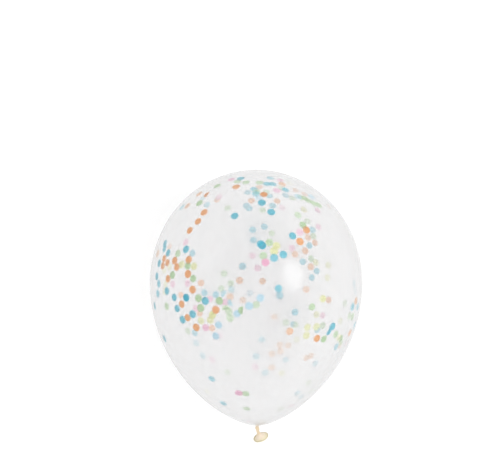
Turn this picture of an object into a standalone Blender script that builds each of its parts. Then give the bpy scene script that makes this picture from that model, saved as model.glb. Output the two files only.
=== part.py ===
"""A clear latex party balloon, blown up, knotted and lying on its side.

Metres, +Z up. The balloon's axis lies along Y: the crown points to +Y and the knotted neck to -Y. It rests on a
small flat spot under its widest ring, and the origin is on the floor, under the middle of its bounding box.
"""

import math

import bmesh
import bpy
from mathutils import Vector

# The blown-up body, measured along the axis from its widest ring
BODY_RADIUS = 0.140
CROWN_HEIGHT = 0.149
TAPER_LENGTH = 0.189
TAPER_POWER = 2.0  # how late the taper begins to close in
TAPER_BLUNTNESS = 0.65  # under 1, the tip is round and not a point
FLAT_SPOT_SAG = 0.003  # how far the floor presses the latex in
BODY_SIDES = 64
CROWN_RINGS = 14
TAPER_RINGS = 22

# The knot, a loop of the neck pulled tight against the tip
KNOT_LOOP_RADIUS = 0.0016
KNOT_CORD_RADIUS = 0.0012
KNOT_DROP = 0.0008  # tip of the body to the loop's centre
KNOT_TILT = math.radians(14)

# The neck below the knot: a drawn-out stem that opens into the mouth it was blown up through
STEM_SIDE = 0.0013  # from the body's axis
STEM_RADIUS = 0.0020
STEM_SHARE = 0.42  # of the neck's length, before it starts to flare
STEM_PULL = 0.62  # share of the neck's reach that hangs straight down from the tip
MOUTH_PULL = 0.24  # and that runs straight into the mouth
FLARE_POWER = 1.5
NECK_ROOT = 0.006  # how far the stem runs up inside the body
NECK_WALL = 0.0004
NECK_SIDES = 28
NECK_RINGS = 14
THROAT_RADIUS = 0.0010  # where the two walls of the stem meet

# The mouth and its rolled lip, placed from the top of the stem
MOUTH_RADIUS = 0.0104  # over the rolled lip
LIP_RADIUS = 0.0009
MOUTH_SIDE = 0.0049
MOUTH_REACH = 0.0157
MOUTH_SINK = 0.0040
MOUTH_TURN = math.radians(21)  # swing of the mouth's axis to the side
MOUTH_DIP = math.radians(26)  # and down to the floor
LIP_SIDES = 10

CUT_MARGIN = 0.002  # how far a cutter runs past what it cuts
WELD = 0.00001

# Where things are, worked out from the sizes above
MOUTH_AXIS = Vector(
    (
        math.sin(MOUTH_TURN) * math.cos(MOUTH_DIP),
        -math.cos(MOUTH_TURN) * math.cos(MOUTH_DIP),
        -math.sin(MOUTH_DIP),
    )
)
LIP_LOOP_RADIUS = MOUTH_RADIUS - LIP_RADIUS
LIP_REACH = LIP_LOOP_RADIUS * math.sqrt(1 - MOUTH_AXIS.y**2) + LIP_RADIUS
NECK_REACH = MOUTH_REACH + LIP_REACH  # tip of the body to the end of the balloon
WIDEST_Y = (TAPER_LENGTH + NECK_REACH - CROWN_HEIGHT) / 2
AXIS_HEIGHT = BODY_RADIUS - FLAT_SPOT_SAG
TIP = Vector((STEM_SIDE, WIDEST_Y - TAPER_LENGTH, AXIS_HEIGHT))
MOUTH_CENTRE = TIP + Vector((MOUTH_SIDE, -MOUTH_REACH, -MOUTH_SINK))


def clear_scene():
    """Removes what a new file holds."""
    for thing in list(bpy.data.objects):
        bpy.data.objects.remove(thing, do_unlink=True)


def make_collection(name):
    """A collection in the scene."""
    made = bpy.data.collections.new(name)
    bpy.context.scene.collection.children.link(made)
    return made


def latex_material():
    """Clear latex: nearly colourless, glossy and see-through."""
    made = bpy.data.materials.new("clear_latex")
    made.use_nodes = True
    shader = made.node_tree.nodes["Principled BSDF"]
    shader.inputs["Base Color"].default_value = (0.93, 0.93, 0.91, 1)
    shader.inputs["Roughness"].default_value = 0.12
    shader.inputs["Metallic"].default_value = 0.0
    shader.inputs["Alpha"].default_value = 0.3
    return made


def hide_as_helper(thing, helpers):
    """Moves an object that the body is joined to or cut by out of what is shown."""
    for home in list(thing.users_collection):
        home.objects.unlink(thing)
    helpers.objects.link(thing)
    thing.hide_render = True
    thing.display_type = "WIRE"
    return thing


def taper_radius(share):
    """The body's radius at a share of the way from the widest ring to the tip."""
    return BODY_RADIUS * (1 - share**TAPER_POWER) ** TAPER_BLUNTNESS


def body_profile():
    """The body's half outline, from the crown down to the tip, as (radius, height over the widest ring)."""
    outline = []
    for ring in range(CROWN_RINGS):
        angle = math.pi / 2 * (1 - ring / CROWN_RINGS)
        outline.append((BODY_RADIUS * math.cos(angle), CROWN_HEIGHT * math.sin(angle)))
    for ring in range(TAPER_RINGS):
        share = math.sin(math.pi / 2 * ring / TAPER_RINGS)
        outline.append((taper_radius(share), -TAPER_LENGTH * share))
    outline[0] = (0.0, CROWN_HEIGHT)
    outline.append((0.0, -TAPER_LENGTH))
    return outline


def turned_body(collection):
    """The body, turned from its half outline and laid down with the crown to +Y."""
    outline = [(radius, 0, height) for radius, height in body_profile()]
    edges = [(i, i + 1) for i in range(len(outline) - 1)]
    mesh = bpy.data.meshes.new("balloon")
    mesh.from_pydata(outline, edges, [])
    body = bpy.data.objects.new("balloon", mesh)
    collection.objects.link(body)
    body.rotation_euler = (-math.pi / 2, 0, 0)
    body.location = (0, WIDEST_Y, AXIS_HEIGHT)

    turn = body.modifiers.new("turn", "SCREW")
    turn.axis = "Z"
    turn.steps = turn.render_steps = BODY_SIDES
    turn.use_merge_vertices = True
    turn.merge_threshold = WELD
    turn.use_smooth_shade = True
    return body


def neck_point(share):
    """A point on the neck's centre line, which leaves the tip straight and bends over to the mouth's axis."""
    straight = Vector((0, -MOUTH_REACH * STEM_PULL, 0))
    bent = -MOUTH_AXIS * MOUTH_REACH * MOUTH_PULL
    a, b, c, d = TIP, TIP + straight, MOUTH_CENTRE + bent, MOUTH_CENTRE
    left = 1 - share
    return a * left**3 + b * 3 * left**2 * share + c * 3 * left * share**2 + d * share**3


def neck_radius(share):
    """The neck's outer radius at a share of its centre line: the stem, then the flare up to the rolled lip."""
    opened = max(0.0, (share - STEM_SHARE) / (1 - STEM_SHARE))
    rim = LIP_LOOP_RADIUS + NECK_WALL / 2
    return STEM_RADIUS + (rim - STEM_RADIUS) * opened**FLARE_POWER


def tube(name, points, radii, helpers):
    """A closed mesh tube along points, with a radius at each."""
    line = bpy.data.curves.new(name, "CURVE")
    line.dimensions = "3D"
    line.twist_mode = "MINIMUM"
    line.bevel_depth = 1.0
    line.bevel_resolution = (NECK_SIDES - 4) // 2
    line.use_fill_caps = True
    spline = line.splines.new("POLY")
    spline.points.add(len(points) - 1)
    for knot, point, radius in zip(spline.points, points, radii):
        knot.co = (*point, 1)
        knot.radius = radius
    curve = bpy.data.objects.new(name, line)
    bpy.context.scene.collection.objects.link(curve)
    return hide_as_helper(as_mesh(curve), helpers)


def as_mesh(curve):
    """Turns a curve object into a mesh object with its caps welded on."""
    seen = curve.evaluated_get(bpy.context.evaluated_depsgraph_get())
    mesh = bpy.data.meshes.new_from_object(seen)
    work = bmesh.new()
    work.from_mesh(mesh)
    bmesh.ops.remove_doubles(work, verts=work.verts, dist=WELD)
    bmesh.ops.recalc_face_normals(work, faces=work.faces)
    work.to_mesh(mesh)
    work.free()
    made = bpy.data.objects.new(curve.name + "_mesh", mesh)
    made.matrix_world = curve.matrix_world
    bpy.context.scene.collection.objects.link(made)
    bpy.data.objects.remove(curve, do_unlink=True)
    return made


def neck(helpers):
    """The stem and the flare, with the open mouth cut into it."""
    shares = [i / NECK_RINGS for i in range(NECK_RINGS + 1)]
    root = TIP + Vector((0, NECK_ROOT, 0))
    points = [root] + [neck_point(s) for s in shares]
    radii = [STEM_RADIUS] + [neck_radius(s) for s in shares]
    outer = tube("neck", points, radii, helpers)

    open_shares = [s for s in shares if s > STEM_SHARE]
    inner = [neck_radius(s) - NECK_WALL for s in open_shares]
    inner[0] = THROAT_RADIUS
    past = MOUTH_CENTRE + MOUTH_AXIS * CUT_MARGIN
    points = [neck_point(s) for s in open_shares] + [past]
    throat = tube("throat", points, inner + [inner[-1]], helpers)
    boolean(outer, throat, "DIFFERENCE")
    return outer


def ring(name, centre, axis, loop_radius, cord_radius, helpers):
    """A round ring about an axis."""
    bpy.ops.mesh.primitive_torus_add(
        major_radius=loop_radius,
        minor_radius=cord_radius,
        major_segments=NECK_SIDES,
        minor_segments=LIP_SIDES,
        location=centre,
        rotation=axis.to_track_quat("Z", "Y").to_euler(),
    )
    made = bpy.context.object
    made.name = name
    return hide_as_helper(made, helpers)


def knot(helpers):
    """The loop of the neck round itself, pulled a little askew."""
    centre = TIP - Vector((0, KNOT_DROP, 0))
    axis = Vector((math.sin(KNOT_TILT), -math.cos(KNOT_TILT), 0))
    return ring("knot", centre, axis, KNOT_LOOP_RADIUS, KNOT_CORD_RADIUS, helpers)


def floor_slab(helpers):
    """What the floor takes off the round underside: everything below Z = 0 under the body."""
    depth = FLAT_SPOT_SAG + CUT_MARGIN
    bpy.ops.mesh.primitive_cube_add(size=1, location=(0, WIDEST_Y, -depth / 2))
    slab = bpy.context.object
    slab.name = "floor_slab"
    slab.scale = (2 * BODY_RADIUS, 2 * BODY_RADIUS, depth)
    return hide_as_helper(slab, helpers)


def boolean(thing, other, operation):
    """Joins another object to thing, or cuts it away."""
    step = thing.modifiers.new(other.name, "BOOLEAN")
    step.operation = operation
    step.object = other
    step.solver = "EXACT"


def main():
    """Builds the balloon: one skin of latex from the crown to the rolled lip."""
    clear_scene()
    balloon_parts = make_collection("confetti_balloon")
    helpers = make_collection("helpers")

    balloon = turned_body(balloon_parts)
    balloon.data.materials.append(latex_material())
    lip = ring("lip", MOUTH_CENTRE, MOUTH_AXIS, LIP_LOOP_RADIUS, LIP_RADIUS, helpers)
    for joined in (neck(helpers), knot(helpers), lip):
        boolean(balloon, joined, "UNION")
    boolean(balloon, floor_slab(helpers), "DIFFERENCE")


main()
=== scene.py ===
"""A clear latex party balloon with tissue confetti clinging to its inside, seen from straight above.

The balloon lies on its side with its axis along Y: crown to +Y, knotted neck to -Y. Units are metres. The
skin is one closed surface, lofted over rings from the crown down to the neck, out over the rolled lip and
back into the mouth. Each colour of confetti is one piece, laid on the inside of the skin.
"""

from __future__ import annotations

import logging
import math
from collections.abc import Callable, Iterable, Mapping
from dataclasses import dataclass, fields
from enum import Enum
from typing import Any

import bpy
from mathutils import Matrix, Vector

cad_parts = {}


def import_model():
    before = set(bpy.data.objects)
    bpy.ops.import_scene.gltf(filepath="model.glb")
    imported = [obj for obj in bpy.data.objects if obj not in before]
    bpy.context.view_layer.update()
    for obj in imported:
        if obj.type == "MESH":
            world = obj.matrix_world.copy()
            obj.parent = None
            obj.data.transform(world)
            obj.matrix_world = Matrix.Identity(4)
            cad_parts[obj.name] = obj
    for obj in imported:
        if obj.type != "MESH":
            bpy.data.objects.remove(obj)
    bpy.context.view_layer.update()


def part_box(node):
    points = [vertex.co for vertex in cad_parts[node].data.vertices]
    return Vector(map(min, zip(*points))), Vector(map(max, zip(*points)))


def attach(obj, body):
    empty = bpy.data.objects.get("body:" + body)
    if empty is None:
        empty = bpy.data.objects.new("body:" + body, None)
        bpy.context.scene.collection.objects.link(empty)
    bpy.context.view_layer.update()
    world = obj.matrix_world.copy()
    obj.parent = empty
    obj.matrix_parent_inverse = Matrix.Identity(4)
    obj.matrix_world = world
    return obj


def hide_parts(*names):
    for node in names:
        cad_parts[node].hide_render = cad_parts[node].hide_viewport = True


LOG = logging.getLogger("confetti_balloon")
BODY = "root"
CAD_NODE = "balloon"
MM = 0.001

Triple = tuple[float, float, float]
Colour = tuple[float, float, float, float]

MATH, VECTOR_MATH = "ShaderNodeMath", "ShaderNodeVectorMath"
NUMBER, VECTOR = "FLOAT", "FLOAT_VECTOR"
CROWN_TO_NECK = Vector((0, -1, 0))


# Nodes, for materials and for geometry alike


def _both_ways(operation: str) -> tuple[Callable[[Wire, Any], Wire], ...]:
    """The two methods of one of Python's operators.

    Args:
        operation: The operation of the node that it adds.

    Returns:
        The method for a wire before the other value, and the one for a wire after it, as in 1 - mask.
    """

    def before(self: Wire, other: Any) -> Wire:
        """The operation on this wire and another value, in this order."""
        return self._join(operation, self, other)

    def after(self: Wire, other: Any) -> Wire:
        """The operation on another value and this wire, in this order."""
        return self._join(operation, other, self)

    return before, after


class Wire:
    """The output of a node, which Python's operators carry on into Math or Vector Math nodes."""

    __add__, __radd__ = _both_ways("ADD")
    __sub__, __rsub__ = _both_ways("SUBTRACT")
    __mul__, __rmul__ = _both_ways("MULTIPLY")
    __truediv__, __rtruediv__ = _both_ways("DIVIDE")
    __mod__, __rmod__ = _both_ways("FLOORED_MODULO")
    __pow__, __rpow__ = _both_ways("POWER")

    def __init__(self, sheet: NodeSheet, socket: bpy.types.NodeSocket) -> None:
        """Wraps an output socket of one of the sheet's nodes."""
        self.sheet = sheet
        self.socket = socket

    def beside(self, name: str) -> Wire:
        """Another output of the same node, by its name."""
        return Wire(self.sheet, self.sheet.find(self.socket.node.outputs, name))

    def _join(self, operation: str, first: Any, second: Any) -> Wire:
        """One Math node on two values, or one Vector Math node if either is a vector.

        Args:
            operation: The node's operation.
            first: Its first value or wire.
            second: Its second value or wire.

        Returns:
            The result.
        """
        vectors = [_is_vector(first), _is_vector(second)]
        if operation == "MULTIPLY" and any(vectors) and not all(vectors):
            vector, share = (first, second) if vectors[0] else (second, first)
            return self.sheet.node(VECTOR_MATH, {"operation": "SCALE"}, {0: vector, "Scale": share})
        kind = VECTOR_MATH if any(vectors) else MATH
        return self.sheet.node(kind, {"operation": operation}, {0: first, 1: second})

    def most(self, other: Any) -> Wire:
        """The larger of this and another value."""
        return self._join("MAXIMUM", self, other)

    def least(self, other: Any) -> Wire:
        """The smaller of this and another value."""
        return self._join("MINIMUM", self, other)

    def over(self, other: Any) -> Wire:
        """1 where this is greater than the other value, and 0 elsewhere."""
        return self._join("GREATER_THAN", self, other)

    def soft_most(self, other: Any, reach: Any) -> Wire:
        """The larger of two values, with the corner rounded off where they are within reach of each other."""
        return self.sheet.node(MATH, {"operation": "SMOOTH_MAX"}, {0: self, 1: other, 2: reach})

    def one(self, operation: str) -> Wire:
        """A Math operation on this value alone, such as SINE or SQRT."""
        return self.sheet.node(MATH, {"operation": operation}, {0: self})

    def dot(self, other: Any) -> Wire:
        """The dot product with another vector."""
        return self.sheet.node(VECTOR_MATH, {"operation": "DOT_PRODUCT"}, {0: self, 1: other}, "Value")

    def cross(self, other: Any) -> Wire:
        """The cross product with another vector, at length 1."""
        crossed = self._join("CROSS_PRODUCT", self, other)
        return self.sheet.node(VECTOR_MATH, {"operation": "NORMALIZE"}, {0: crossed})


def _is_vector(value: Any) -> bool:
    """Whether a value or wire holds a vector."""
    return value.socket.type == "VECTOR" if isinstance(value, Wire) else isinstance(value, (tuple, Vector))


class NodeSheet:
    """A node tree under construction."""

    def __init__(self, tree: bpy.types.NodeTree) -> None:
        """Empties a material's, a world's or a geometry tree, to build it anew."""
        self.tree = tree
        tree.nodes.clear()

    @staticmethod
    def find(sockets: Any, key: str | int) -> bpy.types.NodeSocket:
        """The socket of this name, or of this number, among those that are in use."""
        used = [s for s in sockets if s.enabled]
        return used[key] if isinstance(key, int) else next(s for s in used if s.name == key)

    def node(
        self,
        kind: str,
        settings: Mapping[str, Any] | None = None,
        values: Mapping[str | int, Any] | None = None,
        output: str | int = 0,
    ) -> Wire:
        """Adds a node.

        Args:
            kind: The node's type.
            settings: Its own settings, set first. "stops" are a ramp's (place, colour) pairs.
            values: A value or a wire for each socket that needs one, or a list of wires for a joining one.
            output: The output to return.

        Returns:
            That output, from which beside() gives the others.
        """
        made = self.tree.nodes.new(kind)
        for name, setting in (settings or {}).items():
            if name == "stops":
                self._set_stops(made.color_ramp, setting)
            else:
                setattr(made, name, setting)
        for key, value in (values or {}).items():
            socket = self.find(made.inputs, key)
            for one in value if isinstance(value, list) else [value]:
                if isinstance(one, Wire):
                    self.tree.links.new(one.socket, socket)
                else:
                    socket.default_value = one
        return Wire(self, self.find(made.outputs, output))

    @staticmethod
    def _set_stops(ramp: bpy.types.ColorRamp, stops: list[tuple[float, Colour]]) -> None:
        """Gives a colour ramp its stops.

        Args:
            ramp: The ramp.
            stops: Each stop's place and colour.
        """
        while len(ramp.elements) < len(stops):
            ramp.elements.new(1.0)
        for element, (place, colour) in zip(ramp.elements, stops):
            element.position = place
            element.color = colour

    def end(self, kind: str, name: str, wire: Wire) -> None:
        """Adds the node that the tree ends in, with a wire to its input of that name."""
        made = self.tree.nodes.new(kind)
        self.tree.links.new(wire.socket, self.find(made.inputs, name))


class ShaderSheet(NodeSheet):
    """A material's node tree, with the patterns that several finishes share."""

    MOST_OF_NOISE = (0.3, 0.7)
    NOISE_ROUGHNESS = 0.55

    def __init__(self, name: str) -> None:
        """Starts a material.

        Args:
            name: The material's name.
        """
        self.material = bpy.data.materials.new(name)
        self.material.use_nodes = True
        super().__init__(self.material.node_tree)
        self.place = self.node("ShaderNodeTexCoord", output="Object")

    def attribute(self, name: str, output: str = "Fac") -> Wire:
        """An attribute of the piece's points, as a number, or as a vector by the output Vector."""
        return self.node("ShaderNodeAttribute", {"attribute_name": name}, output=output)

    def noise(self, size: float, detail: float = 2.0, stretch: Triple = (1, 1, 1), place: Any = None) -> Wire:
        """Clouds from 0 to 1 of a size, with finer layers, at the object's coordinates or another place."""
        values = {"Vector": (place or self.place) * stretch, "Scale": 1 / size, "Detail": detail}
        return self.node("ShaderNodeTexNoise", {}, {**values, "Roughness": self.NOISE_ROUGHNESS})

    def ramp(self, value: Any, low: float, high: float, start: float = 0.0, stop: float = 1.0) -> Wire:
        """A value carried smoothly from start to stop as it goes from low to high, and level beyond them."""
        values = {"Value": value, "From Min": low, "From Max": high, "To Min": start, "To Max": stop}
        return self.node("ShaderNodeMapRange", {"interpolation_type": "SMOOTHSTEP"}, values)

    def blend(self, share: Any, first: Any, second: Any) -> Wire:
        """A colour between two, at a share of the way from the first to the second."""
        return self.node("ShaderNodeMix", {"data_type": "RGBA"}, {"Factor": share, "A": first, "B": second})

    def mix(self, share: Any, first: Wire, second: Wire) -> Wire:
        """A mix of two shaders, at a share of the way from the first to the second."""
        return self.node("ShaderNodeMixShader", {}, {0: share, 1: first, 2: second})

    def bump(self, height: Wire, distance: float) -> Wire:
        """A normal that stands for a fine relief, whose height from 0 to 1 is this deep."""
        return self.node("ShaderNodeBump", {}, {"Distance": distance, "Height": height})

    def finish(self, surface: Wire) -> bpy.types.Material:
        """Ends the tree in a surface, and gives the material."""
        self.end("ShaderNodeOutputMaterial", "Surface", surface)
        return self.material


class GeometrySheet(NodeSheet):
    """A geometry tree with named inputs."""

    def __init__(self, name: str, sizes: Iterable[str], **others: str) -> None:
        """Starts a tree that takes and gives a geometry.

        Args:
            name: The tree's name.
            sizes: The names of its inputs that are numbers.
            others: Each other input's name, with its kind of socket.
        """
        super().__init__(bpy.data.node_groups.new(name, "GeometryNodeTree"))
        face = self.tree.interface
        face.new_socket("Geometry", in_out="INPUT", socket_type="NodeSocketGeometry")
        for label, kind in {**dict.fromkeys(sizes, "Float"), **others}.items():
            face.new_socket(label, in_out="INPUT", socket_type=f"NodeSocket{kind}")
        face.new_socket("Geometry", in_out="OUTPUT", socket_type="NodeSocketGeometry")
        self.given = self.node("NodeGroupInput")

    def take(self, name: str) -> Wire:
        """One of the tree's inputs."""
        return self.given.beside(name)

    def kept(self, name: str, kind: str = NUMBER) -> Wire:
        """A named attribute of the geometry that a field is read on."""
        return self.node("GeometryNodeInputNamedAttribute", {"data_type": kind}, {"Name": name}, "Attribute")

    def keep(self, geometry: Wire, name: str, value: Any, kind: str = NUMBER) -> Wire:
        """A geometry whose points store a field under a name."""
        values = {"Geometry": geometry, "Name": name, "Value": value}
        return self.node("GeometryNodeStoreNamedAttribute", {"data_type": kind, "domain": "POINT"}, values)

    def random(self, low: Any, high: Any, seed: Any, kind: str = NUMBER) -> Wire:
        """A random value for each point, the same each run."""
        values = {"Min": low, "Max": high, "Seed": seed}
        return self.node("FunctionNodeRandomValue", {"data_type": kind}, values, "Value")

    def random_across(self, seed: Any) -> Wire:
        """A random vector for each point, from -1 to 1 along X and Y."""
        return self.random((-1.0, -1.0, 0.0), (1.0, 1.0, 0.0), seed, VECTOR)

    def vector(self, x: Any, y: Any, z: Any) -> Wire:
        """A vector from three values."""
        return self.node("ShaderNodeCombineXYZ", {}, {"X": x, "Y": y, "Z": z})

    def move(self, geometry: Wire, place: Wire) -> Wire:
        """Puts a geometry's points at new places."""
        return self.node("GeometryNodeSetPosition", {}, {"Geometry": geometry, "Position": place})

    def weld(self, geometry: Wire, distance: float) -> Wire:
        """Merges points that lie closer together than a distance."""
        return self.node("GeometryNodeMergeByDistance", {}, {"Geometry": geometry, "Distance": distance})

    def join(self, *geometries: Wire) -> Wire:
        """Several geometries as one."""
        return self.node("GeometryNodeJoinGeometry", {}, {"Geometry": list(geometries)})

    def finish(self, geometry: Wire) -> bpy.types.NodeTree:
        """Ends the tree in Realize Instances and Set Material.

        Args:
            geometry: What the tree gives.

        Returns:
            The tree.
        """
        real = self.node("GeometryNodeRealizeInstances", {}, {"Geometry": geometry})
        values = {"Geometry": real, "Material": self.take("Material")}
        self.end("NodeGroupOutput", "Geometry", self.node("GeometryNodeSetMaterial", {}, values))
        return self.tree


def grow(
    name: str,
    places: Iterable[Vector],
    marks: Mapping[str, Any],
    tree: bpy.types.NodeTree,
    maker: Any,
    **others: Any,
) -> bpy.types.Object:
    """Runs a geometry tree on loose points that carry attributes, and leaves the result as a plain mesh.

    Args:
        name: The piece's name.
        places: Where the points are.
        marks: The values of each attribute, numbers or vectors, in the points' order.
        tree: The tree.
        maker: What has the tree's sizes, such as the input Knot Radius as its knot_radius.
        others: The values of its other inputs.

    Returns:
        The piece.
    """
    points = bpy.data.meshes.new(f"{name}_points")
    points.from_pydata([tuple(p) for p in places], [], [])
    for label, column in marks.items():
        is_vector = isinstance(column[0], Vector)
        attribute = points.attributes.new(label, VECTOR if is_vector else NUMBER, "POINT")
        flat = [x for v in column for x in v] if is_vector else column
        attribute.data.foreach_set("vector" if is_vector else "value", flat)
    piece = bpy.data.objects.new(name, points)
    bpy.context.scene.collection.objects.link(piece)

    modifier = piece.modifiers.new(tree.name, "NODES")
    modifier.node_group = tree
    for item in tree.interface.items_tree:
        if item.in_out == "INPUT" and item.name != "Geometry":
            size = getattr(maker, item.name.lower().replace(" ", "_"), None)
            modifier[item.identifier] = others.get(item.name, size)
    graph = bpy.context.evaluated_depsgraph_get()
    mesh = bpy.data.meshes.new_from_object(piece.evaluated_get(graph))
    piece.modifiers.remove(modifier)
    piece.data = mesh
    mesh.name = name
    return piece


# Finishes


@dataclass(frozen=True)
class LatexFilm:
    """Clear latex: a glossy film with a milky haze, which turns ivory and dense where it isn't stretched."""

    clear_tint: Colour = (0.986, 0.983, 0.987, 1)
    haze_colour: Colour = (0.868, 0.866, 0.869, 1)
    haze: float = 0.42
    edge_on: float = 0.12
    cloud_size: float = 45 * MM
    cloud_stretch: Triple = (1, 0.45, 1)
    cloud_swing: float = 0.07
    shine_head_on: float = 0.04
    shine_power: int = 5
    shine_roughness: float = 0.21
    stem: Colour = (0.80, 0.67, 0.47, 1)
    flare: Colour = (0.92, 0.84, 0.74, 1)
    near_lip: Colour = (0.86, 0.83, 0.60, 1)
    lip: Colour = (0.77, 0.74, 0.55, 1)
    blotch_size: float = 2.5 * MM
    grain_size: float = 0.5 * MM
    grain_depth: float = 0.05 * MM
    glow: float = 0.35

    def material(self) -> bpy.types.Material:
        """The film's material, which reads the skin's thickness attribute.

        Returns:
            The material.
        """
        s = ShaderSheet("clear_latex")
        thickness = s.attribute("thickness")
        facing = s.node("ShaderNodeLayerWeight", {}, {"Blend": 0.5}, "Facing")

        # the more the film is seen from the side, the more of it the light passes
        clouds = s.noise(self.cloud_size, 3.0, self.cloud_stretch)
        clouds = s.ramp(clouds, *s.MOST_OF_NOISE, 1 - self.cloud_swing, 1 + self.cloud_swing)
        passed = math.log(1 - self.haze) * clouds / (1 - facing).most(self.edge_on)
        milk = 1 - math.e**passed
        clear = s.node("ShaderNodeBsdfTransparent", {}, {"Color": self.clear_tint})
        haze = s.node("ShaderNodeBsdfTranslucent", {}, {"Color": self.haze_colour})
        film = s.mix(milk, clear, haze)
        gloss = s.node("ShaderNodeBsdfAnisotropic", {}, {"Roughness": self.shine_roughness})
        shine = facing**self.shine_power * (1 - self.shine_head_on) + self.shine_head_on
        film = s.mix(shine, film, gloss)
        return s.finish(s.mix(s.ramp(thickness, 0.0, 1.0), film, self._unstretched(s, thickness)))

    def _unstretched(self, s: ShaderSheet, thickness: Wire) -> Wire:
        """The shader of the neck, whose colour changes down the stem and the flare to the rolled lip.

        Args:
            s: The material under construction.
            thickness: 1 on the stem, rising down the flare to 2 on the lip.

        Returns:
            The shader.
        """
        colour = self.flare
        for start, stop, tone in (
            (0.6, 1.0, self.stem),
            (1.0, 1.35, self.flare),
            (1.4, 1.8, self.near_lip),
            (1.85, 2.0, self.lip),
        ):
            colour = s.blend(s.ramp(thickness, start, stop), colour, tone)
        blotches = s.ramp(s.noise(self.blotch_size, 3.0), 0.35, 0.7, 0.0, 0.25)
        values = {
            "Base Color": s.blend(blotches, colour, self.stem),
            "Roughness": 0.42,
            "Specular IOR Level": 0.4,
            "Normal": s.bump(s.noise(self.grain_size, 4.0), self.grain_depth),
        }
        rubber = s.node("ShaderNodeBsdfPrincipled", {}, values)
        glow = s.node("ShaderNodeBsdfTranslucent", {}, {"Color": self.flare})
        return s.mix(self.glow, rubber, glow)


@dataclass(frozen=True)
class TissuePaper:
    """Dyed tissue paper, thin enough for light to come through."""

    name: str
    face: Triple
    see_through: float = 0.12
    paler: float = 1.08
    whiter: float = 0.06
    deeper: float = 0.87
    richer: float = 0.7
    fibre_size: float = 0.5 * MM
    fibre_stretch: Triple = (1.0, 0.3, 1.0)
    fibre_share: float = 0.6
    fibre_depth: float = 0.08 * MM
    blotch_size: float = 4.0 * MM
    # how far each disc's rim is darkened towards the deep colour: painted shade
    plain_rim: float = 0.9
    glow: float = 0.35

    def material(self) -> bpy.types.Material:
        """The paper's material, which reads the discs' sheet, rim and ply attributes.

        Returns:
            The material.
        """
        s = ShaderSheet(self.name)
        pale = (*(min(1.0, c * self.paler + self.whiter) for c in self.face), 1)
        deep = (*(c * self.deeper for c in self.face), 1)
        rich = (*(self.richer * c * c / max(self.face) for c in self.face), 1)
        sheet = s.attribute("sheet", "Vector")
        fibres = s.noise(self.fibre_size, 4.0, self.fibre_stretch, sheet)
        blotches = s.ramp(s.noise(self.blotch_size, place=sheet), *s.MOST_OF_NOISE)
        mottle = s.ramp(fibres, *s.MOST_OF_NOISE) * self.fibre_share + blotches * (1 - self.fibre_share)
        # painted shade: towards each disc's rim the mottle fades out and the colour darkens to the deep one
        rim = s.ramp(s.attribute("rim"), 0.6, 1.0)
        # a ply under 1 lets more of the floor through: partly thinner tissue, partly painted light coming
        # through from behind; over 1 the disc is doubled
        ply = s.attribute("ply")
        doubled = (ply - 1).most(0.0)
        values = {
            "Base Color": s.blend(doubled, s.blend(mottle * (1 - rim * self.plain_rim), deep, pale), rich),
            "Roughness": 0.85,
            "Specular IOR Level": 0.15,
            "Normal": s.bump(fibres, self.fibre_depth),
        }
        paper = s.node("ShaderNodeBsdfPrincipled", {}, values)
        through = s.node("ShaderNodeBsdfTranslucent", {}, {"Color": (*self.face, 1)})
        both = s.mix((1 - doubled) * self.glow, paper, through)
        clear = s.node("ShaderNodeBsdfTransparent", {}, {"Color": (1, 1, 1, 1)})
        cover = s.ramp(fibres, 0.2, 0.8, 1 - 2 * self.see_through, 1.0) * ply
        return s.finish(s.mix(cover.least(1.0), clear, both))


@dataclass(frozen=True)
class PaleFloor:
    """A smooth white table top."""

    colour: Colour = (0.93, 0.93, 0.93, 1)
    patch_size: float = 0.3
    roughness: tuple[float, float] = (0.72, 0.8)

    def material(self) -> bpy.types.Material:
        """The floor's material.

        Returns:
            The material.
        """
        s = ShaderSheet("pale_floor")
        worn = s.ramp(s.noise(self.patch_size, 3.0), *s.MOST_OF_NOISE, *self.roughness)
        values = {"Base Color": self.colour, "Roughness": worn, "Specular IOR Level": 0.1}
        return s.finish(s.node("ShaderNodeBsdfPrincipled", {}, values))


class Tissue(Enum):
    """The colours of the confetti, each with its letter in the drifts and the colour of a disc's face."""

    TEAL = ("t", (0.29, 0.72, 0.82))
    BLUE = ("b", (0.70, 0.89, 0.97))
    ORANGE = ("o", (0.98, 0.60, 0.33))
    GREEN = ("g", (0.68, 0.84, 0.60))
    YELLOW = ("y", (0.91, 0.92, 0.58))
    PINK = ("p", (0.98, 0.62, 0.78))

    def __init__(self, letter: str, face: Triple) -> None:
        """Takes the letter and the colour apart."""
        self.letter = letter
        self.face = face

    @property
    def slot(self) -> str:
        """The name of this colour's material."""
        return f"tissue_{self.name.lower()}"

    def material(self) -> bpy.types.Material:
        """The tissue paper of this colour."""
        return TissuePaper(self.slot, self.face).material()


# The balloon's skin


@dataclass
class Ring:
    """One ring of the skin's loft."""

    centre: Vector
    axis: Vector
    radius: float
    thickness: float = 0.0
    gather: float = 0.0
    pucker: float = 0.0
    along: float = -1.0


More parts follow.
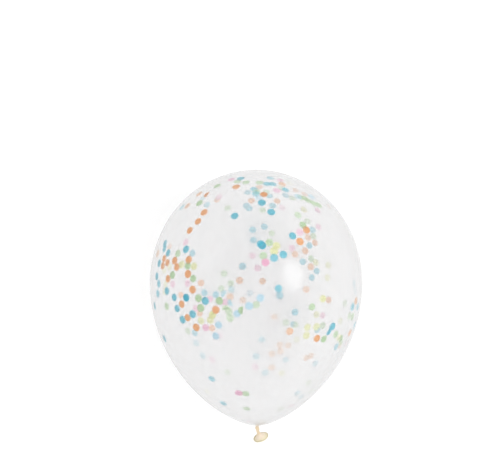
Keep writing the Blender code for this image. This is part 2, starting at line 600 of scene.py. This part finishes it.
@dataclass
class Skin:
    """The latex: body, knot, stem, flared mouth and rolled lip, as one closed surface.

    Its thickness attribute is 0 on the body, rises over the shoulder to 1 on the stem, and to 2 at the lip.
    """

    bottom: Vector
    top: Vector
    finish: LatexFilm = LatexFilm()

    crown_height: float = 0.149
    taper_length: float = 0.189
    taper_power: float = 2.0
    taper_bluntness: float = 0.65
    sides: int = 192
    crown_rings: int = 44
    taper_rings: int = 60
    flat_edge: float = 1.5 * MM

    tip_side: float = 1.3 * MM
    tip_bend: int = 12
    tip_thickness: float = 0.55
    stem_radius: float = 2.0 * MM
    shoulder: float = 1.3 * MM
    shoulder_rings: int = 8
    shoulder_thickness: float = 0.6
    knot_radius: float = 2.8 * MM
    knot_cord: float = 1.2 * MM
    knot_lean: float = 0.55
    knot_crease: float = 0.25 * MM
    stem_share: float = 0.42
    stem_pull: float = 0.62
    mouth_pull: float = 0.24
    flare_power: float = 1.5
    flare_thickness: float = 1.8
    wall: float = 0.4 * MM
    neck_rings: int = 64
    throat_radius: float = 1.0 * MM

    mouth_radius: float = 10.4 * MM
    mouth_side: float = 4.9 * MM
    mouth_reach: float = 15.7 * MM
    mouth_sink: float = 4.0 * MM
    mouth_turn: float = math.radians(21)
    mouth_dip: float = math.radians(26)
    lip_radius: float = 0.9 * MM
    lip_rings: int = 18
    lip_start: float = math.radians(-65)
    lip_stop: float = math.radians(245)

    pleats: int = 7
    pleat_depth: float = 0.09
    pleat_rise: float = 6.0
    pleat_fade: float = 1.2
    pucker_depth: float = 0.22 * MM
    pucker_reach: float = 22 * MM

    def __post_init__(self) -> None:
        """Works out where the body is from the CAD solid's box."""
        self.radius = (self.top.x - self.bottom.x) / 2
        self.widest = Vector((0, self.top.y - self.crown_height, self.top.z - self.radius))
        self.last_radius = self.stem_radius + self.shoulder
        bare = (self.last_radius / self.radius) ** (1 / self.taper_bluntness)
        self.last_share = (1 - bare) ** (1 / self.taper_power)
        self.tip = self._axis_point(1.0)
        turn, dip = self.mouth_turn, self.mouth_dip
        across = math.cos(dip)
        self.mouth_axis = Vector((math.sin(turn) * across, -math.cos(turn) * across, -math.sin(dip)))
        self.mouth = self.tip + Vector((self.mouth_side, -self.mouth_reach, -self.mouth_sink))
        self.lip_loop = self.mouth_radius - self.lip_radius

    def _axis_point(self, share: float) -> Vector:
        """A point on the body's axis, at 0 in the widest ring and at 1 at the tip, where it bends aside."""
        return self.widest + Vector((self.tip_side * share**self.tip_bend, -self.taper_length * share, 0))

    def build(self) -> bpy.types.Object:
        """Builds and dresses the skin.

        Returns:
            The finished piece.
        """
        rings = [*self._body_rings(), *self._shoulder_rings(), *self._neck_rings(), *self._lip_rings()]
        rings += self._throat_rings()
        marks = {f.name: [getattr(r, f.name) for r in rings] for f in fields(Ring) if f.name != "centre"}
        places = [r.centre for r in rings]
        return grow("balloon_skin", places, marks, loft_tree(), self, Material=self.finish.material())

    def _body_rings(self) -> Iterable[Ring]:
        """The rings of the blown-up body, from the crown down to the shoulder of the neck.

        Returns:
            The rings, of which the first is a point.
        """
        for i in range(self.crown_rings):
            angle = math.pi / 2 * (1 - i / self.crown_rings)
            centre = self.widest + Vector((0, self.crown_height * math.sin(angle), 0))
            yield Ring(centre, CROWN_TO_NECK, self.radius * math.cos(angle) if i else 0.0)

        last_angle = math.asin(self.last_share)
        for i in range(self.taper_rings + 1):
            share = math.sin(last_angle * i / self.taper_rings)
            radius = self.radius * (1 - share**self.taper_power) ** self.taper_bluntness
            near = max(0.0, 1 - (radius - self.last_radius) / self.pucker_reach)
            ring = Ring(self._axis_point(share), CROWN_TO_NECK, radius, self.tip_thickness * near**3)
            ring.pucker = self.pucker_depth * near**2 * math.sin(math.pi * near**0.5)
            yield ring

    def _shoulder_rings(self) -> Iterable[Ring]:
        """The rings of the hollow curve between the body's tip and the stem.

        Returns:
            The rings.
        """
        start = self._axis_point(self.last_share)
        for i in range(1, self.shoulder_rings):
            angle = math.pi / 2 * i / self.shoulder_rings
            radius = self.stem_radius + self.shoulder * (1 - math.sin(angle))
            centre = start + CROWN_TO_NECK * self.shoulder * (1 - math.cos(angle))
            thickness = self.shoulder_thickness + (1 - self.shoulder_thickness) * i / self.shoulder_rings
            yield Ring(centre, CROWN_TO_NECK, radius, thickness)

    def _neck_point(self, share: float) -> tuple[Vector, Vector]:
        """A point on the neck's centre line and the line's direction there.

        Args:
            share: From 0 at the body's tip to 1 at the mouth.

        Returns:
            The point and the direction, at length 1.
        """
        reach = self.mouth_reach
        a, b = self.tip, self.tip - Vector((0, reach * self.stem_pull, 0))
        c, d = self.mouth - self.mouth_axis * reach * self.mouth_pull, self.mouth
        left = 1 - share
        point = a * left**3 + b * 3 * left**2 * share + c * 3 * left * share**2 + d * share**3
        way = (b - a) * left**2 + (c - b) * 2 * left * share + (d - c) * share**2
        return point, way.normalized()

    def _neck_ring(self, share: float) -> Ring:
        """A ring on the outside of the stem or the flare.

        Args:
            share: From 0 at the body's tip to 1 at the mouth.

        Returns:
            The ring.
        """
        opened = max(0.0, (share - self.stem_share) / (1 - self.stem_share))
        rim = self.lip_loop + self.wall / 2
        radius = self.stem_radius + (rim - self.stem_radius) * opened**self.flare_power
        return Ring(*self._neck_point(share), radius, 1 + (self.flare_thickness - 1) * opened)

    def _neck_rings(self) -> Iterable[Ring]:
        """The rings down the outside of the stem and the flare, with the stem's pleats and the knot's place.

        Returns:
            The rings.
        """
        first = self.shoulder / self.mouth_reach
        for i in range(self.neck_rings):
            share = first + (1 - first) * i / self.neck_rings
            ring = self._neck_ring(share)
            ring.along = share * self.mouth_reach
            risen = min(1.0, self.pleat_rise * (share - first))
            ring.gather = self.pleat_depth * max(0.0, 1 - share) ** self.pleat_fade * risen
            yield ring

    def _lip_rings(self) -> Iterable[Ring]:
        """The rings round the rolled lip, from the outside of the flare over to its inside.

        Returns:
            The rings.
        """
        for i in range(self.lip_rings + 1):
            angle = self.lip_start + (self.lip_stop - self.lip_start) * i / self.lip_rings
            centre = self.mouth + self.mouth_axis * self.lip_radius * math.sin(angle)
            yield Ring(centre, self.mouth_axis, self.lip_loop + self.lip_radius * math.cos(angle), 2.0)

    def _throat_rings(self) -> Iterable[Ring]:
        """The rings up the inside of the flare, to where the two walls of the stem meet.

        Returns:
            The rings, of which the last is a point.
        """
        count = self.neck_rings // 2
        for i in range(1, count + 1):
            ring = self._neck_ring(1 - (1 - self.stem_share) * i / count)
            ring.radius = max(self.throat_radius, ring.radius - self.wall) if i < count else 0.0
            yield ring


def loft_tree() -> bpy.types.NodeTree:
    """The geometry tree that stretches a closed skin over rings.

    The rings come as loose points, which carry what a Ring holds as attributes.

    Returns:
        The tree.
    """
    sizes = ("Pleats", "Knot Radius", "Knot Cord", "Knot Lean", "Knot Crease", "Flat Edge")
    s = GeometrySheet("skin_over_rings", sizes, Sides="Int", Material="Material")
    rings, sides = s.take("Geometry"), s.take("Sides")
    count = s.node("GeometryNodeAttributeDomainSize", {"component": "MESH"}, {"Geometry": rings})
    grid = s.node("GeometryNodeMeshGrid", {}, {"Vertices X": sides + 1, "Vertices Y": count}, "Mesh")
    index = s.node("GeometryNodeInputIndex")
    turn = (index / count).one("FLOOR") / sides * math.tau

    def read(name: str, kind: str = NUMBER) -> Wire:
        """A ring's attribute, for each point of the grid."""
        values = {"Geometry": rings, "Value": s.kept(name, kind), "Index": index % count}
        return s.node("GeometryNodeSampleIndex", {"data_type": kind, "domain": "POINT"}, values)

    axis = read("axis", VECTOR)
    side = axis.cross((0.0, 0.0, 1.0))
    up = axis.cross(side)
    wave = (turn * s.take("Pleats")).one("SINE")

    # the knot is two wraps of the neck that lean opposite ways
    radius = read("radius") * (wave * read("gather") + 1)
    cord, top = s.take("Knot Cord"), s.take("Knot Radius")
    for wrap, phase in ((1.0, 0.6), (1.9, 3.4)):
        lean = (turn + phase).one("COSINE") * s.take("Knot Lean") * cord
        off = read("along") - lean - cord * wrap
        bulge = (cord * cord - off * off).most(0.0).one("SQRT")
        radius = radius.soft_most((top - cord + bulge) * bulge.over(0.0), s.take("Knot Crease"))
    spoke = side * turn.one("COSINE") + up * turn.one("SINE")
    shaped = read("position", VECTOR) + spoke * radius + axis * (read("pucker") * wave)

    # the flat spot underneath
    x = s.node("ShaderNodeSeparateXYZ", {}, {"Vector": shaped}, "X")
    shaped = s.vector(x, x.beside("Y"), x.beside("Z").soft_most(0.0, s.take("Flat Edge")))

    skin = s.keep(s.move(grid, shaped), "thickness", read("thickness"))
    skin = s.weld(skin, 0.001 * MM)
    return s.finish(s.node("GeometryNodeSetShadeSmooth", {}, {"Geometry": skin}))


# The view


@dataclass(frozen=True)
class View:
    """The look from straight above: how large the balloon is in the picture, and where."""

    widest: Vector
    radius: float

    picture_width: int = 499
    picture_centre: tuple[float, float] = (249.5, 230.0)
    axis_column: float = 256.2
    widest_row: float = 282.6
    radius_in_pixels: float = 106.0
    distance: float = 2.0
    sensor: float = 36.0

    @property
    def pixel(self) -> float:
        """What one pixel measures at the height of the balloon's axis."""
        return self.radius / self.radius_in_pixels

    @property
    def eye(self) -> Vector:
        """Where the camera is.

        Returns:
            The place.
        """
        right = (self.picture_centre[0] - self.axis_column) * self.pixel
        up = (self.widest_row - self.picture_centre[1]) * self.pixel
        return self.widest + Vector((right, up, self.distance))

    def set_camera(self) -> None:
        """Points the camera straight down, with the crown to the top of the picture."""
        camera = bpy.data.cameras.new("camera")
        camera.sensor_width = self.sensor
        camera.sensor_fit = "HORIZONTAL"
        camera.lens = self.sensor * self.distance / (self.picture_width * self.pixel)
        holder = bpy.data.objects.new("camera", camera)
        bpy.context.scene.collection.objects.link(holder)
        holder.location = self.eye
        bpy.context.scene.camera = holder


# The confetti


class Wall(Enum):
    """Which side of the balloon a drift of confetti clings to: the upper wall, or the one on the floor."""

    UPPER = 1.0
    LOWER = -1.0


@dataclass(frozen=True)
class Drift:
    """Discs in a loose row, one for each letter, evenly over a line with bends.

    The line's points are in millimetres from the balloon's axis and its widest ring, as seen from above. The
    spread is how far a disc strays from it each way. A capital letter is a folded disc. A ply under 1 makes
    a disc more see-through and paler over the floor: partly thinner tissue, and partly painted light, the
    brightness of light coming through the discs from behind. At 2 the disc is doubled and rich in colour.
    """

    letters: str
    line: tuple[tuple[float, float], ...]
    spread: float = 1.5
    ply: float = 1.0

    def places(self) -> Iterable[tuple[str, Vector]]:
        """Each disc's letter and its place, in metres.

        Returns:
            The letters and places, in the row's order.
        """
        last = len(self.line) - 1
        steps = max(1, len(self.letters) - 1)
        for i, letter in enumerate(self.letters):
            along = last * i / steps
            first = min(int(along), last - 1) if last else 0
            a, b = Vector(self.line[first]), Vector(self.line[min(first + 1, last)])
            yield letter, a.lerp(b, along - first).to_3d() * MM


UPPER_DRIFTS = (
    # the bank along the left side, from its top end down and round to the middle
    Drift("tt", ((-121, 51), (-117, 38)), 1.5, 0.87),
    Drift("tg", ((-121, 44), (-104, 38)), 1.0, 0.7),
    Drift("t", ((-94, 44),), 1.5, 0.87),
    Drift("tooooo", ((-129, 26), (-122, 31), (-124, 21), (-117, 25), (-109, 29), (-106, 21)), 1.5, 0.94),
    Drift("ogog", ((-89, 31), (-91, 21), (-89, 12), (-83, 4))),
    Drift("tog", ((-131, 9), (-118, 6), (-112, 10))),
    Drift("ttg", ((-128, -1), (-131, -14), (-119, -31)), 1.0, 0.7),
    Drift("tt", ((-117, -10), (-108, -19)), 1.5, 0.9),
    Drift("o", ((-84, -9),), 0.3),
    Drift("t", ((-93, -20),), 0.3, 2.0),
    Drift("ot", ((-98, -28), (-105, -33)), 1.5, 0.9),
    Drift("gtg", ((-76, -20), (-67, -25), (-72, -33))),
    Drift("g", ((-49, -24),), 0.3, 1.25),
    Drift("oy", ((-54, -36), (-58, -43)), 0.5),
    Drift("yy", ((-61, -50), (-73, -51)), 0.5, 0.6),
    Drift("tot", ((-84, -42), (-91, -46), (-98, -49)), 0.5, 0.92),
    Drift("obb", ((-79, -60), (-50, -57), (-54, -72))),
    Drift("p", ((-67, -60),), 0.5, 0.6),
    Drift("bGbb", ((-25, -42), (-18, -36), (-10, -31), (5, -20)), 1.0),
    Drift("ggg", ((-36, -38), (-35, -47), (0, -29)), 0.5, 0.5),
    Drift("G", ((-40, -35),), 0.5, 0.5),
    Drift("TT", ((-34, -26), (-42, -15)), 0.5, 0.25),
    Drift("tt", ((-135, -32), (-120, -75))),
    Drift("oyy", ((-130, 38), (-99, 24), (-83, 22)), 1.0, 0.5),
    # near the crown
    Drift("ooo", ((-69, 93), (-77, 81), (-88, 69)), 0.0),
    Drift("Og", ((-65, 116), (-75, 105)), 0.5),
    Drift("oot", ((-75, 117), (-91, 102), (-98, 100)), 0.5, 0.55),
    Drift("gto", ((-52, 128), (-21, 138), (-27, 127)), 0.5, 0.8),
    Drift("gpgg", ((-25, 134), (-33, 136), (-13, 133), (4, 132)), 0.5, 0.6),
    Drift("tgtb", ((-3, 124), (1, 120), (-1, 118), (4, 112)), 0.5, 0.45),
    Drift("o", ((10, 117),), 0.5, 1.25),
    Drift("ttt", ((8, 106), (20, 93), (-28, 88)), 0.5, 1.05),
    Drift("ttt", ((14, 131), (22, 130), (39, 123)), 0.5, 0.6),
    Drift("t", ((19, 138),), 0.5, 0.4),
    Drift("ppo", ((32, 135), (27, 122), (34, 131)), 0.5, 0.45),
    Drift("bbggg", ((56, 114), (73, 114), (69, 109), (76, 105), (83, 103)), 0.5, 0.65),
    Drift("ggg", ((55, 90), (60, 113), (65, 111)), 0.5, 0.5),
    # the clump in the middle
    Drift("t", ((6, 51),), 0.0),
    Drift("t", ((8, 49),), 0.0, 2.0),
    Drift("gyy", ((18, 53), (27, 49), (24, 42)), 0.5, 0.8),
    Drift("p", ((12, 27),), 0.5),
    Drift("g", ((9, 36),), 0.5, 0.7),
    Drift("tt", ((36, 37), (48, 62)), 0.5),
    Drift("tt", ((24, 33), (29, -8)), 0.5, 0.75),
    # down the right side
    Drift("goo", ((62, 76), (67, 70), (58, 54)), 0.5),
    Drift("p", ((58, 67),), 0.5, 0.4),
    Drift("gy", ((74, -32), (88, -21)), 0.5, 0.8),
    Drift("yyy", ((80, -58), (68, -59), (66, -70)), 0.5, 0.6),
    Drift("Ttog", ((95, -64), (101, -58), (81, -74), (90, -75)), 0.5),
    Drift("o", ((44, -64),), 0.5, 0.5),
    Drift("ogt", ((132, -25), (127, -44), (129, -56)), 1.0, 0.6),
    Drift("tt", ((127, -32), (134, -32)), 0.5, 0.6),
    Drift("gog", ((106, -68), (124, -66), (112, -74)), 1.0, 0.7),
    Drift("gtyg", ((123, -44), (105, -84), (109, -72), (113, -78)), 1.0, 0.4),
    # the few on the way to the neck
    Drift("ttg", ((-59, -127), (-43, -160), (-13, -167)), 0.5, 0.5),
    Drift("pg", ((-23, -146), (-14, -147)), 0.0, 0.7),
)
LOWER_DRIFTS = (
    # near the crown
    Drift("pottg", ((-50, 114), (-51, 109), (-66, 104), (-71, 113), (-38, 99)), 1.0, 0.9),
    Drift("b", ((-35, 141),)),
    Drift("otott", ((4, 127), (-11, 119), (-6, 109), (-13, 102), (-9, 98)), 0.5),
    Drift("gtotg", ((8, 96), (22, 102), (28, 108), (18, 115), (13, 120)), 0.5),
    Drift("gtgoo", ((33, 126), (39, 115), (47, 113), (52, 123), (65, 118))),
    Drift("yygp", ((45, 131), (65, 130), (42, 136), (35, 100)), 1.0, 0.4),
    Drift("poy", ((82, 96), (95, 100), (62, 97))),
    # the middle
    Drift("tttt", ((-5, 70), (11, 74), (-4, 56), (-18, 22)), 0.5, 0.9),
    Drift("gpo", ((21, 65), (47, 46), (51, 38)), 0.5, 0.7),
    Drift("oooo", ((-22, 3), (8, 2), (-35, -19), (66, -9)), 0.5, 0.55),
    Drift("ggg", ((-43, 12), (-34, -1), (-46, -8)), 0.5, 0.65),
    Drift("tboo", ((-33, -9), (-8, -14), (-18, -23), (24, -45)), 0.5, 0.3),
    Drift("tt", ((51, -39), (31, -17)), 0.5),
    Drift("pp", ((-5, 36), (2, 19)), 0.5, 0.4),
    # under the bank on the left
    Drift("opt", ((-114, 47), (-93, 53), (-85, 39))),
    Drift("yyyyyy", ((-83, 22), (-99, 24), (-116, 20), (-121, 16), (-120, -1), (-123, -11))),
    Drift("ppoo", ((-112, -2), (-92, 0), (-74, 0), (-101, -16))),
    Drift("tptp", ((-70, -12), (-60, -21), (-55, -17), (-42, -27))),
    Drift("potg", ((-79, -35), (-74, -42), (-80, -66), (-90, -64))),
    Drift("oo", ((-58, -60), (-137, -8))),
    Drift("p", ((-48, -69),), 1.0, 0.3),
    # down the right side
    Drift("gtpo", ((68, 81), (75, 70), (82, 74), (69, 60)), 0.5, 0.8),
    Drift("gotog", ((76, 62), (78, 53), (71, 49), (65, 42), (73, 32)), 0.5),
    Drift("tyott", ((62, 28), (79, 27), (72, 21), (80, 15), (74, 7)), 0.5),
    Drift("yygtb", ((95, 24), (95, 7), (118, -28), (129, -1), (131, -11)), 1.0, 0.7),
    Drift("oyg", ((97, -23), (80, -43), (87, -57))),
    Drift("pygt", ((88, -43), (112, -51), (52, -56), (81, -63)), 0.5, 0.7),
    Drift("oop", ((110, -84), (126, -81), (119, -79))),
    Drift("tg", ((49, -55), (39, -53)), 0.5, 0.6),
    # the pale ones below the middle
    Drift("tooyoo", ((8, -75), (31, -82), (42, -83), (53, -75), (21, -94), (32, -91)), 0.5, 0.37),
    Drift("tpott", ((0, -98), (-1, -111), (20, -112), (12, -119), (39, -102)), 0.5, 0.37),
    Drift("yoot", ((34, -120), (66, -100), (73, -97), (78, -107)), 0.5, 0.45),
    Drift("tpgt", ((-71, -97), (-58, -102), (-38, -118), (-80, -80)), 0.5, 0.4),
    Drift("ggtt", ((69, -132), (73, -143), (54, -146), (60, -152)), 1.0, 0.6),
    Drift("pgtyp", ((48, -164), (32, -167), (38, -177), (-65, -144), (-9, -184)), 1.0, 0.5),
)
DRIFTS = {Wall.UPPER: UPPER_DRIFTS, Wall.LOWER: LOWER_DRIFTS}


@dataclass
class Confetti:
    """Punched discs of tissue paper, held to the inside of the skin by static."""

    skin: bpy.types.Object
    view: View
    diameter: float = 10.0 * MM
    thickness: float = 0.12 * MM
    gap: float = 0.25 * MM
    stack: float = 0.5 * MM
    tilt: float = math.radians(5)
    sag: float = 0.24
    seed: int = 11

    def build(self) -> list[bpy.types.Object]:
        """Builds one piece for each colour."""
        tree = scatter_tree()
        return [self._piece(tissue, tree) for tissue in Tissue]

    def _piece(self, tissue: Tissue, tree: bpy.types.NodeTree) -> bpy.types.Object:
        """All the discs of one colour.

        Args:
            tissue: The colour.
            tree: The geometry tree that lays the discs on the skin.

        Returns:
            The piece.
        """
        discs = [
            (self.view.widest + place, wall.value, drift.spread * MM, drift.ply, float(letter.isupper()))
            for wall, drifts in DRIFTS.items()
            for drift in drifts
            for letter, place in drift.places()
            if letter.lower() == tissue.letter
        ]
        places, *marks = zip(*discs)
        marks = dict(zip(("side", "spread", "ply", "folded"), marks))
        others = {"Eye": self.view.eye, "Material": tissue.material()}
        piece = grow(f"confetti_{tissue.name.lower()}", places, marks, tree, self, **others)
        LOG.info("%s: %d discs", piece.name, len(discs))
        return piece


class Lie(Enum):
    """A disc's lie: its edges' rise by its radius, its fold's angle, and the fold's place from -1 to 1."""

    FLAT = (0.03, 0.0, 0.0)
    CURLED = (0.12, 0.0, 0.0)
    CREASED = (0.05, math.radians(20), 0.4)
    FOLDED = (0.0, math.radians(165), 0.3)


def disc_tree() -> bpy.types.NodeTree:
    """The geometry tree of one thin closed disc, in strips across, so that it can curl or fold.

    Returns:
        The tree.
    """
    strips = 8
    s = GeometrySheet("tissue_disc", ("Diameter", "Thickness", "Curl", "Fold", "Fold Place"))
    grid = s.node("GeometryNodeMeshGrid", {}, {"Vertices X": strips + 1, "Vertices Y": 2}, "Mesh")
    index = s.node("GeometryNodeInputIndex")
    turn = (index / 2.0).one("FLOOR") * (math.pi / strips)
    radius, fold = s.take("Diameter") / 2.0, s.take("Fold")
    x = turn.one("COSINE") * radius * -1.0
    y = turn.one("SINE") * radius * ((index % 2.0) * 2.0 - 1.0)

    flat = s.vector(x, y, 0.0)
    past = (x - s.take("Fold Place") * radius).most(0.0)
    bent_x = x - past * (1 - fold.one("COSINE"))
    bent_z = x * x * s.take("Curl") / radius + past * fold.one("SINE")
    sheet = s.keep(grid, "sheet", flat, VECTOR)
    sheet = s.keep(sheet, "rim", flat.dot(flat).one("SQRT") / radius)
    sheet = s.weld(s.move(sheet, s.vector(bent_x, y, bent_z)), 0.01 * MM)
    values = {"Mesh": sheet, "Offset Scale": s.take("Thickness"), "Individual": False}
    thick = s.node("GeometryNodeExtrudeMesh", {}, values, "Mesh")
    under = s.node("GeometryNodeFlipFaces", {}, {"Mesh": sheet}, "Mesh")
    s.end("NodeGroupOutput", "Geometry", s.weld(s.join(thick, under), 0.01 * MM))
    return s.tree


def scatter_tree() -> bpy.types.NodeTree:
    """The geometry tree that lays discs on the inside of the skin.

    The discs' places come as loose points level with the axis, with side, spread, ply and folded attributes.

    Returns:
        The tree.
    """
    sizes = ("Diameter", "Thickness", "Gap", "Stack", "Tilt", "Sag")
    others = {"Skin": "Object", "Eye": "Vector", "Seed": "Int", "Material": "Material"}
    s = GeometrySheet("confetti_on_skin", sizes, **others)
    skin = {"Object": s.take("Skin")}
    skin = s.node("GeometryNodeObjectInfo", {"transform_space": "ORIGINAL"}, skin, "Geometry")
    seed, gap = s.take("Seed"), s.take("Gap")
    side, out = s.kept("side"), s.kept("out", VECTOR)

    # from its place in the picture, a disc goes along the line of sight to the wall it clings to
    place = s.node("GeometryNodeInputPosition")
    values = {
        "Target Geometry": skin,
        "Source Position": place + s.random_across(seed) * s.kept("spread"),
        "Ray Direction": (s.take("Eye") - place) * side,
        "Ray Length": 1.0,
    }
    hit = s.node("GeometryNodeRaycast", {}, values, "Is Hit")
    normal = hit.beside("Hit Normal")
    points = s.keep(s.take("Geometry"), "lost", 1 - hit)
    points = s.keep(points, "out", normal, VECTOR)
    points = s.keep(points, "cut", s.random((0.0, 0.0, 0.0), (1.0, 1.0, 1.0), seed + 6, VECTOR), VECTOR)
    depth = s.random(0.0, 1.0, seed + 1) * s.take("Stack") + gap
    points = s.move(points, hit.beside("Hit Position") - normal * depth)
    lost = {"Geometry": points, "Selection": s.kept("lost").over(0.5)}
    points = s.node("GeometryNodeDeleteGeometry", {"domain": "POINT"}, lost)

    # the flat disc comes up most often, then the curled one and the creased one
    curled_from, creased_from = 0.55, 0.85
    disc, lies = disc_tree(), []
    for lie in Lie:
        values = {name: s.take(name) for name in ("Diameter", "Thickness")}
        values |= zip(("Curl", "Fold", "Fold Place"), lie.value)
        made = s.node("GeometryNodeGroup", {"node_tree": disc}, values)
        lies.append(s.node("GeometryNodeGeometryToInstance", {}, {"Geometry": made}))
    which = s.random(0.0, 1.0, seed + 2)
    pick = which.over(curled_from) + which.over(creased_from)
    pick = pick.most(s.kept("folded") * (len(lies) - 1.0))

    # it lies along the wall, sagging a little, leaning a little and turned any way round
    sagging = out + s.vector(0.0, 0.0, side * s.take("Sag"))
    lying = s.node("FunctionNodeAlignRotationToVector", {"axis": "Z"}, {"Vector": sagging})
    lean = s.random_across(seed + 3) * s.take("Tilt")
    spin = s.vector(0.0, 0.0, s.random(0.0, math.tau, seed + 4))
    turned = s.node("FunctionNodeEulerToRotation", {}, {"Euler": lean + spin})
    values = {"Rotation": lying, "Rotate By": turned}
    facing = s.node("FunctionNodeRotateRotation", {"rotation_space": "LOCAL"}, values)
    size = s.random(0.93, 1.04, seed + 5)
    values = {
        "Points": points,
        # a joining socket takes its last link first
        "Instance": s.join(*reversed(lies)),
        "Pick Instance": True,
        "Instance Index": pick,
        "Rotation": facing,
        "Scale": s.vector(size, size, size),
    }
    laid = s.node("GeometryNodeInstanceOnPoints", {}, values)
    laid = s.node("GeometryNodeRealizeInstances", {}, {"Geometry": laid})

    # each disc is cut from another part of the sheet
    laid = s.keep(laid, "sheet", s.kept("sheet", VECTOR) + s.kept("cut", VECTOR), VECTOR)

    # what would come through the skin is pressed flat against it
    near = s.node("GeometryNodeProximity", {"target_element": "FACES"}, {"Geometry": skin}, "Position")
    proud = ((place - near).dot(out) + gap * 0.5).most(0.0)
    return s.finish(s.move(laid, place - out * proud))


# The studio


@dataclass
class Studio:
    """The floor and the light."""

    middle: Vector
    floor_size: float = 12.0
    floor_gap: float = 0.2 * MM
    sky: float = 1.14
    sky_greys: tuple[tuple[float, float], ...] = ((0.0, 0.66), (0.3, 0.97), (0.8, 1.0))
    key_from: Triple = (0.607, 0.14, 0.78)
    key_distance: float = 1.4
    key_size: tuple[float, float] = (0.60, 0.50)
    key_power: float = 4.7
    clear_layers: int = 32

    def build(self) -> None:
        """Sets up everything that isn't part of the balloon."""
        self._floor()
        self._sky()
        self._key()
        scene = bpy.context.scene
        scene.view_settings.view_transform = "Standard"
        scene.cycles.transparent_max_bounces = self.clear_layers

    def _floor(self) -> None:
        """Lays the floor just under the balloon."""
        bpy.ops.mesh.primitive_plane_add(size=self.floor_size, location=(0, 0, -self.floor_gap))
        floor = bpy.context.object
        floor.name = "floor"
        floor.data.materials.append(PaleFloor().material())

    def _sky(self) -> None:
        """A white room, a little greyer towards the horizon, which darkens the balloon's rim."""
        world = bpy.data.worlds.new("white_room")
        bpy.context.scene.world = world
        world.use_nodes = True
        s = NodeSheet(world.node_tree)
        way = s.node("ShaderNodeTexCoord", output="Generated")
        height = s.node("ShaderNodeSeparateXYZ", {}, {"Vector": way}, "Z")
        stops = [(place, (grey, grey, grey, 1)) for place, grey in self.sky_greys]
        colour = s.node("ShaderNodeValToRGB", {"stops": stops}, {"Fac": height})
        light = s.node("ShaderNodeBackground", {}, {"Color": colour, "Strength": self.sky})
        s.end("ShaderNodeOutputWorld", "Surface", light)

    def _key(self) -> None:
        """Hangs the soft box whose reflection is the balloon's highlight."""
        light = bpy.data.lights.new("soft_box", "AREA")
        light.shape = "ELLIPSE"
        light.size, light.size_y = self.key_size
        light.energy = self.key_power
        box = bpy.data.objects.new("soft_box", light)
        bpy.context.scene.collection.objects.link(box)
        way = Vector(self.key_from).normalized()
        turn = way.to_track_quat("Z", "Y").to_matrix().to_4x4()
        box.matrix_world = Matrix.Translation(self.middle + way * self.key_distance) @ turn


def main() -> None:
    """Builds the balloon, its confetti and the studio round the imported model."""
    logging.basicConfig(level=logging.INFO, format="%(name)s: %(message)s")
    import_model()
    bottom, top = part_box(CAD_NODE)

    skin = Skin(bottom, top)
    film = skin.build()
    LOG.info("%s: %d faces", film.name, len(film.data.polygons))
    view = View(skin.widest, skin.radius)
    pieces = Confetti(film, view).build()
    Studio(skin.widest).build()
    view.set_camera()

    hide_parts(CAD_NODE)
    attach(film, BODY)
    for piece, tissue in zip(pieces, Tissue):
        tissue.slot
        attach(piece, BODY)


if __name__ == "__main__":
    main()
